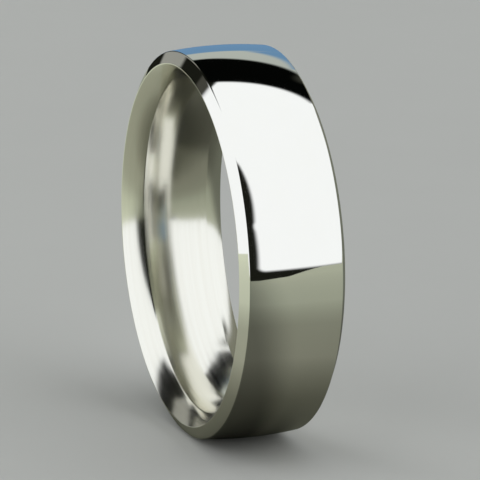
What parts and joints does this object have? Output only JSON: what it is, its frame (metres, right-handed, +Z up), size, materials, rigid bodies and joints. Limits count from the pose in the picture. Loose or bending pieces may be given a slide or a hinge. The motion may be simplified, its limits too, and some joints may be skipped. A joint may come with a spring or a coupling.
{
  "type": "wedding band",
  "caption": "Plain comfort-fit finger ring of polished white metal with a lightly domed face and bevelled sides.",
  "frame": {"origin": "centre of the ring, on the axis of the finger hole, midway between the two sides", "axes": "+Y along the axis of the finger hole, +Z up; the band stands on its outer face like a wheel"},
  "size_m": [0.0218, 0.006, 0.0218],
  "materials": {
    "polished_white_metal": "mirror polished"
  },
  "bodies": {
    "root": {"band": "polished_white_metal"}
  },
  "joints": []
}
